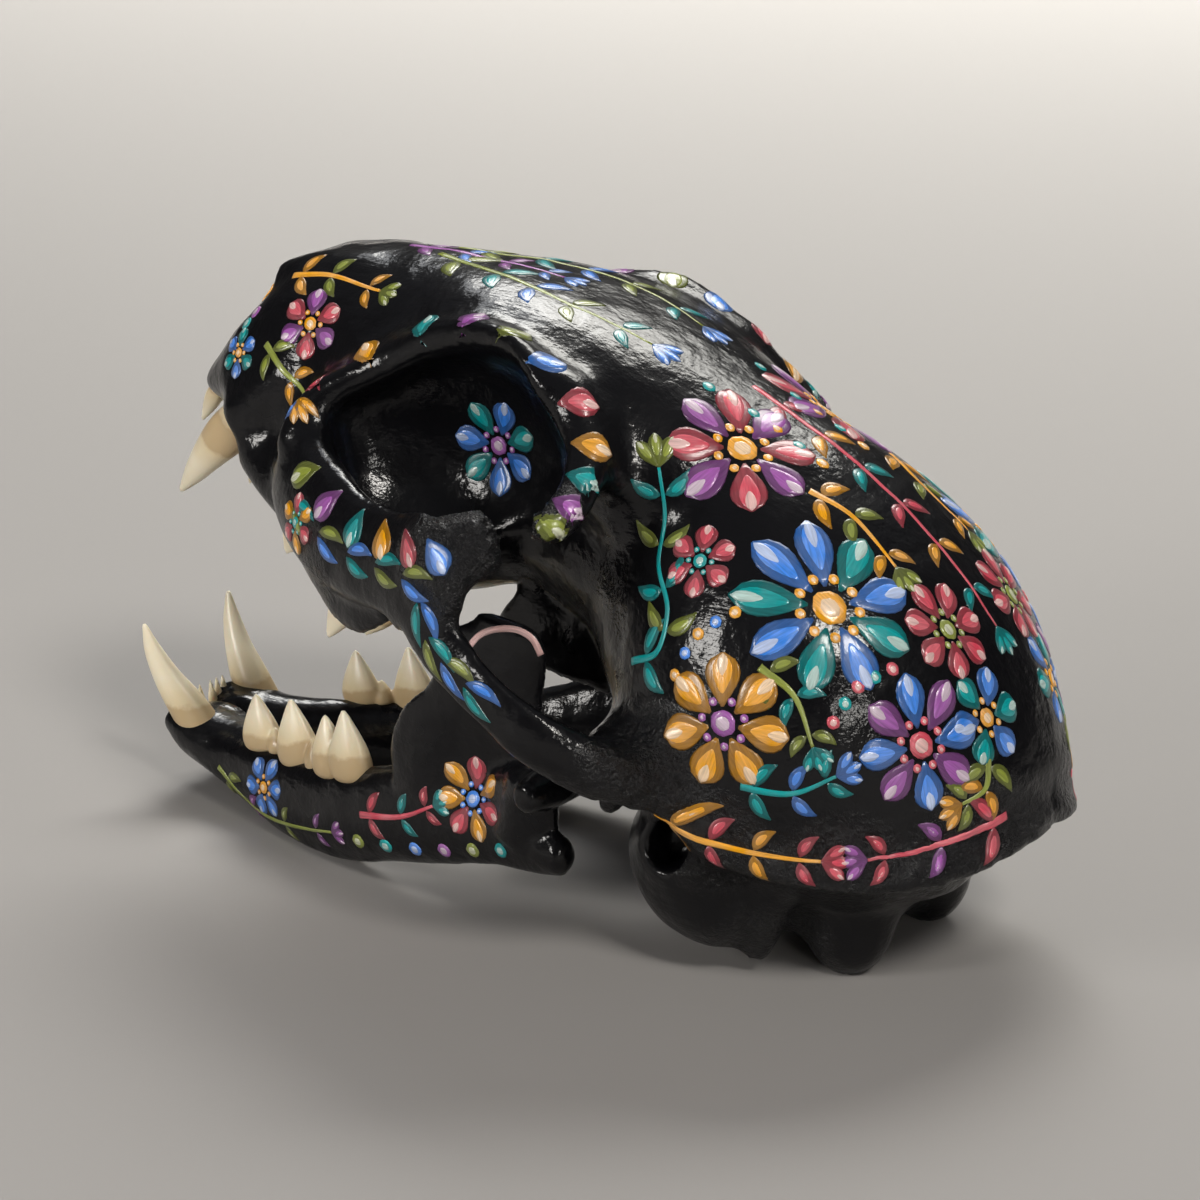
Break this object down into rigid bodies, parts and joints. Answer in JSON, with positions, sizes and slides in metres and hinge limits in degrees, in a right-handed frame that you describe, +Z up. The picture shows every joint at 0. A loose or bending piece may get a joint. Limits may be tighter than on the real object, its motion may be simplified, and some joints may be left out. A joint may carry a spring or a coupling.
{
  "type": "cat skull",
  "caption": "Life-size adult cat skull with open jaws, gloss black paint, a flower and leaf ornament in bright colours and bare ivory teeth.",
  "frame": {"origin": "centre of the overall box in X and Y, at the floor the skull rests on", "axes": "+Z up, snout toward -Y, the animal's left toward +X"},
  "size_m": [0.0656, 0.1017, 0.0606],
  "materials": {
    "painted_bone": "thick gloss black paint on bone, with flowers, leaves and dots in teal, blue, purple, rose, ochre and olive",
    "tooth": "satin ivory enamel, browner at the root"
  },
  "bodies": {
    "root": {"braincase": "painted_bone", "face": "painted_bone", "zygomatic_arch_left": "painted_bone", "tympanic_bulla_left": "painted_bone", "mandible_left": "painted_bone", "upper_canine_left": "tooth", "lower_canine_left": "tooth", "zygomatic_arch_right": "painted_bone", "tympanic_bulla_right": "painted_bone", "mandible_right": "painted_bone", "upper_canine_right": "tooth", "lower_canine_right": "tooth"}
  },
  "joints": []
}
